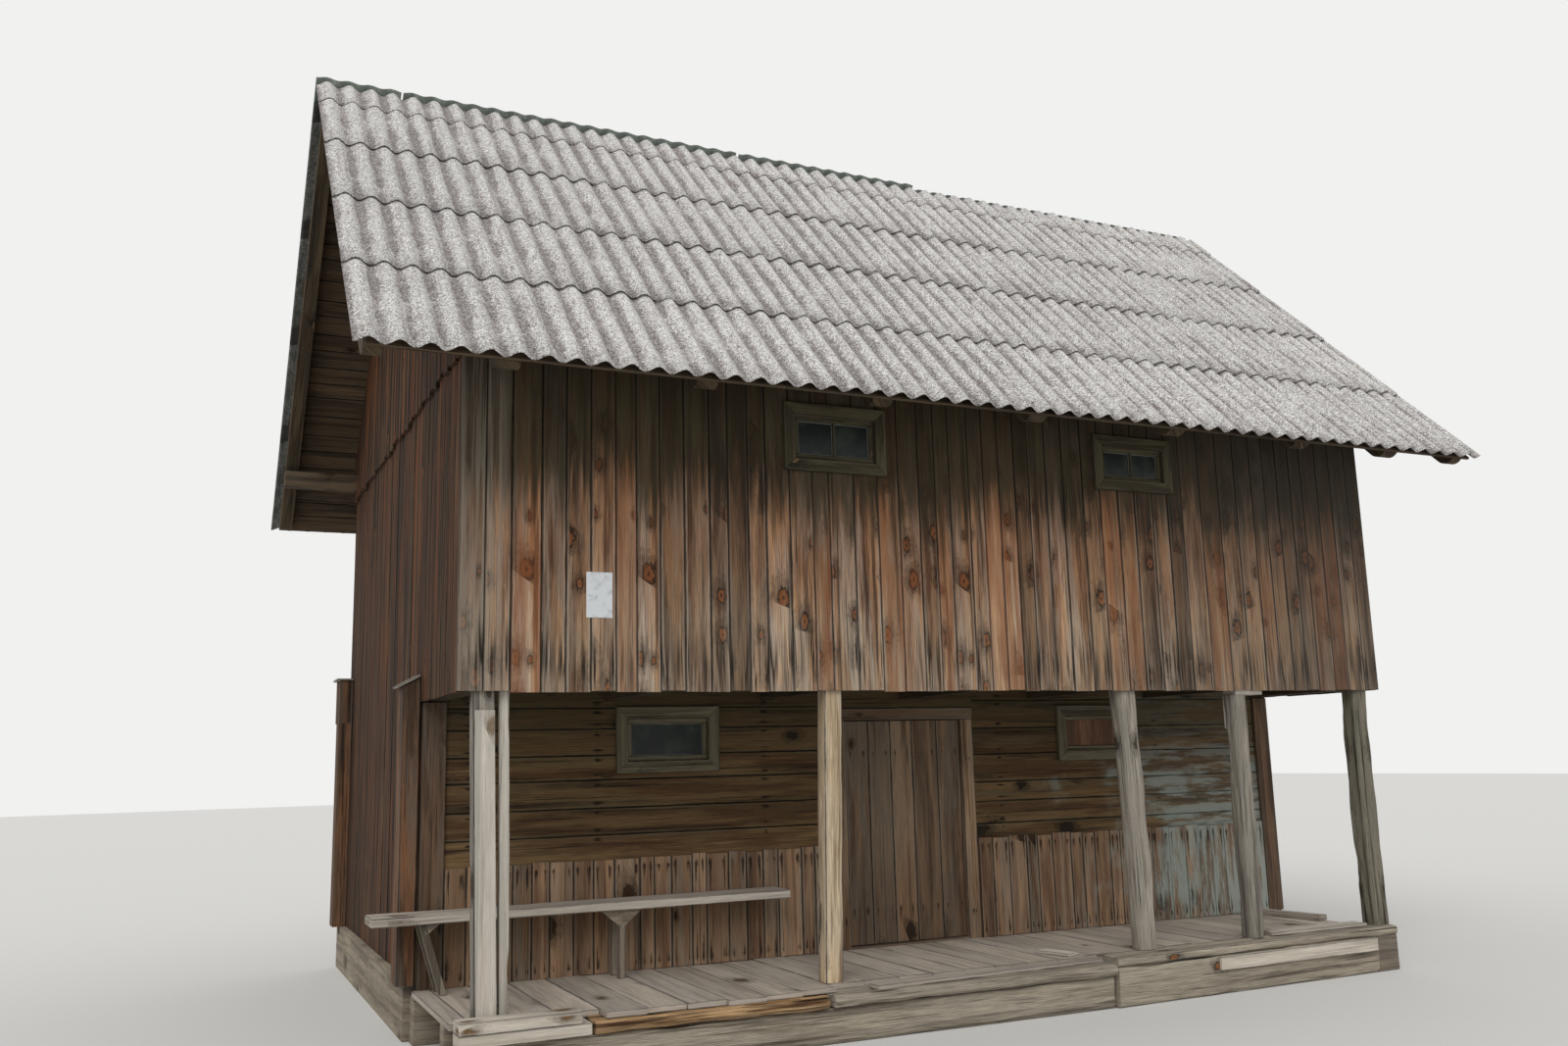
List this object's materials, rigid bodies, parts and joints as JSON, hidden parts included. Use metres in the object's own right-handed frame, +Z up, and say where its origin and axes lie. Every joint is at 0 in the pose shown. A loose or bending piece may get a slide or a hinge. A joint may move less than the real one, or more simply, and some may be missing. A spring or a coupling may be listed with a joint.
{
  "type": "raised timber granary",
  "caption": "Two-storey plank granary with a jutting upper storey over a porch on posts, board door, small windows, bench and steep roof of corrugated fibre-cement sheets.",
  "frame": {"origin": "on the ground under the middle of the house", "axes": "+X to the right along the front, +Z up, the front with its porch faces -Y"},
  "size_m": [9.44, 6.7246, 7.6394],
  "materials": {
    "weathered_sill": "hewn, weathered grey",
    "rotten_sill": "rotten, orange-brown",
    "pale_plank": "sawn, bleached",
    "deck_board": "trodden, pale grey",
    "grey_post": "hewn, silver grey",
    "tan_post": "squared, tan",
    "inner_timber": "dark, unpainted",
    "porch_wall_plank": "dark, greenish brown",
    "gable_board": "weathered red-brown",
    "front_board": "weathered brown and grey",
    "wainscot_board": "weathered red-brown",
    "rafter_timber": "dark, weathered",
    "roof_board": "rough sawn, dark",
    "fibre_cement": "weathered fibre cement, matt",
    "ridge_cement": "weathered fibre cement, matt",
    "door_timber": "weathered grey-brown",
    "wrought_iron": "forged, rusty",
    "casing_board": "weathered grey",
    "window_glass": "old window glass"
  },
  "bodies": {
    "granary": {"front_sill_beam": "weathered_sill", "front_sill_log": "rotten_sill", "corner_planks": "pale_plank", "house_sills": "weathered_sill", "porch_deck": "deck_board", "ground_floor": "deck_board", "porch_post_1": "grey_post", "porch_post_2": "tan_post", "porch_post_3": "grey_post", "porch_post_4": "grey_post", "porch_post_5": "grey_post", "jetty_beam": "inner_timber", "floor_joists": "inner_timber", "upper_floor": "inner_timber", "porch_wall_left": "porch_wall_plank", "porch_wall_right": "porch_wall_plank", "porch_wall_over_door": "porch_wall_plank", "upper_front_wall": "inner_timber", "rear_wall": "inner_timber", "left_wall": "inner_timber", "right_wall": "inner_timber", "left_gable": "gable_board", "right_gable": "gable_board", "front_boarding": "front_board", "rear_boarding": "front_board", "left_boarding": "gable_board", "right_boarding": "gable_board", "wainscot": "wainscot_board", "corner_boards": "wainscot_board", "corner_boxes": "gable_board", "wall_plates": "rafter_timber", "loft_beams": "inner_timber", "rafters": "rafter_timber", "roof_boards": "roof_board", "roof_sheets_front": "fibre_cement", "roof_sheets_rear": "fibre_cement", "ridge_capping": "ridge_cement", "door_frame": "door_timber", "hinge_pins": "wrought_iron", "upper_window_frames": "casing_board", "porch_window_frames": "casing_board", "window_panes": "window_glass", "window_panel": "wainscot_board", "bench_plank": "pale_plank", "bench_legs": "deck_board"},
    "door": {"door_leaf": "door_timber", "door_straps": "wrought_iron"}
  },
  "joints": [
    {"name": "door_hinge", "type": "hinge", "parent": "granary", "child": "door", "pos_m": [0.51, -1.25192, 1.2], "axis": [0, 0, -1], "range_deg": [0, 100]}
  ]
}
